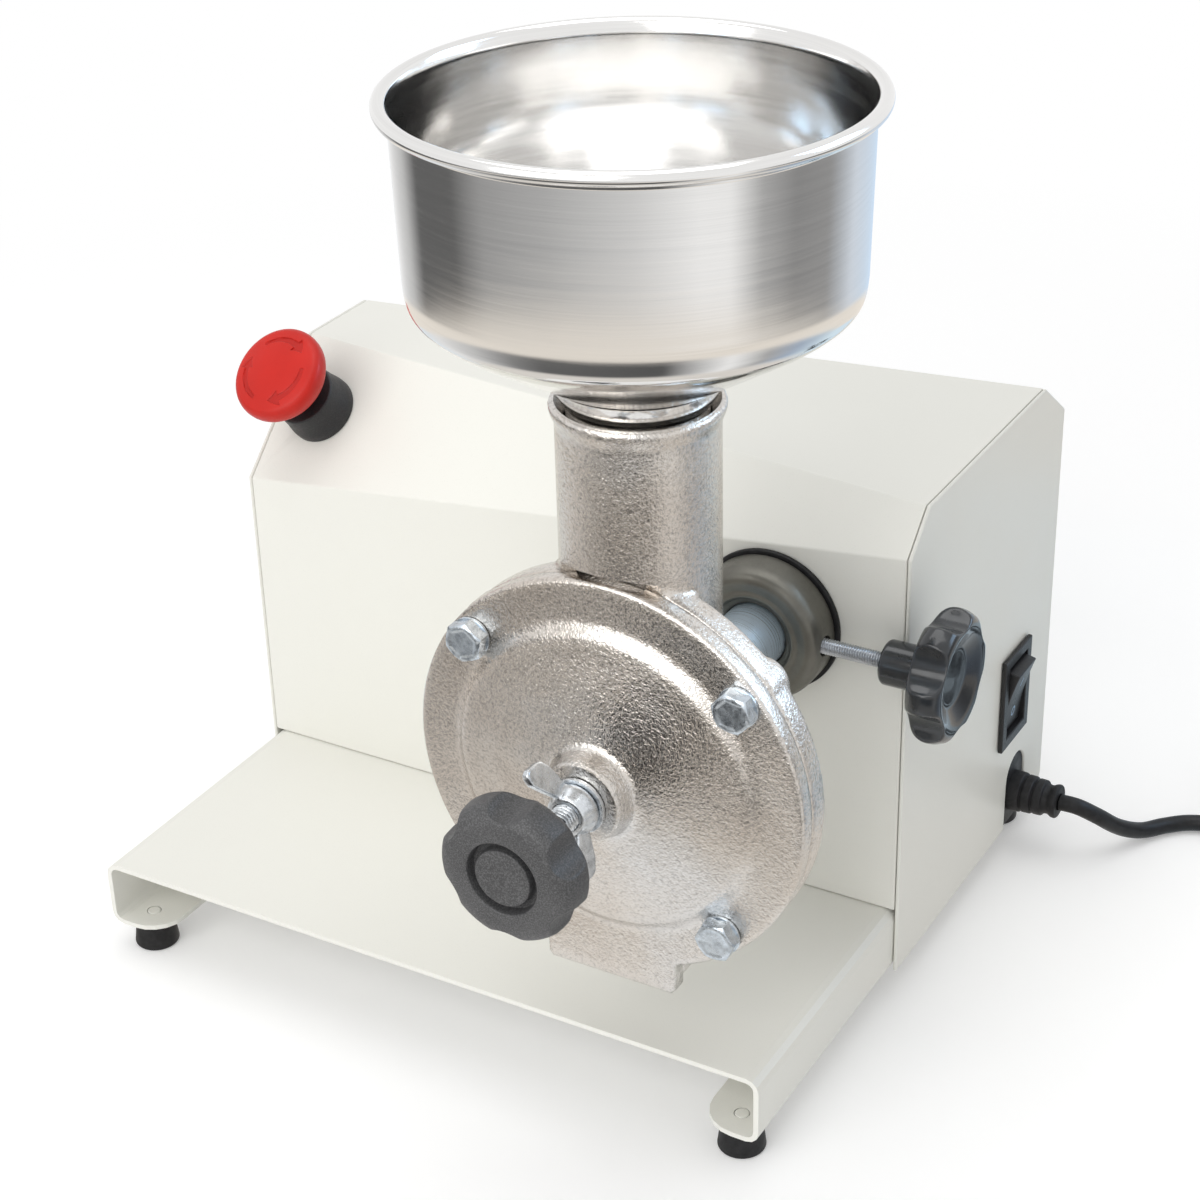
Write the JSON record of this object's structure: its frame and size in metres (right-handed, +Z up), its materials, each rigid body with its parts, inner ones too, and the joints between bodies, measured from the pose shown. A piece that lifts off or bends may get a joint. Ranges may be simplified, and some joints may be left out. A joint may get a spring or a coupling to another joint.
{
  "type": "electric coffee grinder",
  "caption": "Electric coffee grinder: cast grinding head with a steel hopper, held in a collar on a folded sheet housing with a rocker switch, stop button and mains cord.",
  "frame": {"origin": "on the floor under the middle of the machine's box, cord left out", "axes": "+Z up, -Y towards the grinding head's front knob, +X towards the switch and cord"},
  "size_m": [0.5051, 0.4538, 0.3834],
  "materials": {
    "painted_steel": "satin powder coat",
    "cast_metal": "tinned, slightly rough",
    "polished_steel": "polished",
    "zinc_steel": "zinc plated",
    "dark_steel": "dark oxide",
    "burr_steel": "hardened, matt",
    "black_plastic": "matt",
    "gloss_plastic": "gloss",
    "red_plastic": "satin",
    "rubber": "matt",
    "brass": "turned",
    "motor_shell": "satin",
    "lamination": "stacked sheet",
    "aluminium": "cast and turned",
    "belt_rubber": "matt",
    "terminal_plastic": "matt",
    "capacitor_case": "matt",
    "cord_rubber": "satin"
  },
  "bodies": {
    "machine": {"base_tray": "painted_steel", "housing_wrap": "painted_steel", "side_panel_left": "painted_steel", "side_panel_right": "painted_steel", "rear_panel": "painted_steel", "foot_front_left": "rubber", "foot_front_right": "rubber", "foot_back_left": "rubber", "foot_back_right": "rubber", "collar_gasket": "rubber", "strain_relief": "rubber", "rear_screw_left": "zinc_steel", "rear_screw_right": "zinc_steel", "cover_bolt_1": "zinc_steel", "cover_bolt_2": "zinc_steel", "cover_bolt_3": "zinc_steel", "cover_bolt_4": "zinc_steel", "bearing_front": "zinc_steel", "bearing_back": "zinc_steel", "stop_nut": "zinc_steel", "front_cover": "cast_metal", "grinder_body": "cast_metal", "fixed_burr": "burr_steel", "stop_collar": "black_plastic", "stop_contact_block": "black_plastic", "switch_housing": "black_plastic", "coil_tie": "black_plastic", "mains_plug": "black_plastic", "collar": "dark_steel", "bearing_housing": "aluminium", "motor_cap_front": "aluminium", "motor_cap_back": "aluminium", "belt": "belt_rubber", "motor_shell": "motor_shell", "motor_bracket": "motor_shell", "motor_stator": "lamination", "capacitor": "capacitor_case", "terminal_block": "terminal_plastic", "cord_lead": "cord_rubber", "cord_coil": "cord_rubber", "inner_lead": "cord_rubber"},
    "grinder": {"auger_shaft": "zinc_steel", "turning_burr": "burr_steel", "drive_spindle": "zinc_steel", "driven_pulley": "aluminium"},
    "motor": {"motor_rotor": "zinc_steel", "motor_pulley": "aluminium"},
    "stop_stem": {"stop_stem": "black_plastic"},
    "stop_head": {"stop_head": "red_plastic"},
    "rocker": {"switch_rocker": "black_plastic"},
    "pad": {"thrust_pad": "brass"},
    "adjuster": {"adjusting_screw": "zinc_steel", "front_knob": "black_plastic"},
    "washer": {"lock_washer": "zinc_steel"},
    "wing": {"wing_nut": "zinc_steel"},
    "clamp_tip": {"clamp_tip": "brass"},
    "clamp": {"clamp_rod": "zinc_steel", "clamp_knob": "gloss_plastic"},
    "hopper": {"hopper": "polished_steel"}
  },
  "joints": [
    {"name": "grinder_spin", "type": "hinge", "parent": "machine", "child": "grinder", "pos_m": [0.07915, -0.09725, 0.155], "axis": [0, 1, 0], "continuous": true},
    {"name": "motor_spin", "type": "hinge", "parent": "machine", "child": "motor", "pos_m": [-0.04585, 0.04275, 0.0919], "axis": [0, 1, 0], "continuous": true},
    {"name": "stop_push", "type": "slide", "parent": "machine", "child": "stop_stem", "axis": [0.0773, 0.6861, -0.7234], "range_m": [0, 0.005]},
    {"name": "stop_twist", "type": "hinge", "parent": "stop_stem", "child": "stop_head", "pos_m": [-0.13917, 0.02117, 0.20721], "axis": [-0.0773, -0.6861, 0.7234], "range_deg": [0, 45], "stiffness_Nm_per_rad": 0.02},
    {"name": "rocker_tilt", "type": "hinge", "parent": "machine", "child": "rocker", "pos_m": [0.13175, 0.12875, 0.079], "axis": [0, -1, 0], "range_deg": [0, 24]},
    {"name": "adjust_slide", "type": "slide", "parent": "machine", "child": "pad", "axis": [0, 1, 0], "range_m": [-0.0031, 0.0004]},
    {"name": "adjust_turn", "type": "hinge", "parent": "pad", "child": "adjuster", "pos_m": [0.07915, -0.165, 0.155], "axis": [0, 1, 0], "range_deg": [-720, 90]},
    {"name": "lock_slide", "type": "slide", "parent": "machine", "child": "washer", "axis": [0, 1, 0], "range_m": [-0.0016, 0]},
    {"name": "lock_turn", "type": "hinge", "parent": "washer", "child": "wing", "pos_m": [0.07915, -0.13, 0.155], "axis": [0, 1, 0], "range_deg": [-360, 0]},
    {"name": "clamp_slide", "type": "slide", "parent": "machine", "child": "clamp_tip", "axis": [-1, 0, 0], "range_m": [-0.0021, 0]},
    {"name": "clamp_turn", "type": "hinge", "parent": "clamp_tip", "child": "clamp", "pos_m": [0.14465, 0.00775, 0.155], "axis": [-1, 0, 0], "range_deg": [-720, 0]},
    {"name": "hopper_lift", "type": "slide", "parent": "machine", "child": "hopper", "axis": [0, 0, 1], "range_m": [0, 0.03]}
  ],
  "couplings": [
    {"joint": "motor_spin", "follows": "grinder_spin", "ratio": 2.5},
    {"joint": "adjust_slide", "follows": "adjust_turn", "m_per_rad": 0.00023873},
    {"joint": "lock_slide", "follows": "lock_turn", "m_per_rad": 0.00023873},
    {"joint": "clamp_slide", "follows": "clamp_turn", "m_per_rad": 0.00015915}
  ]
}
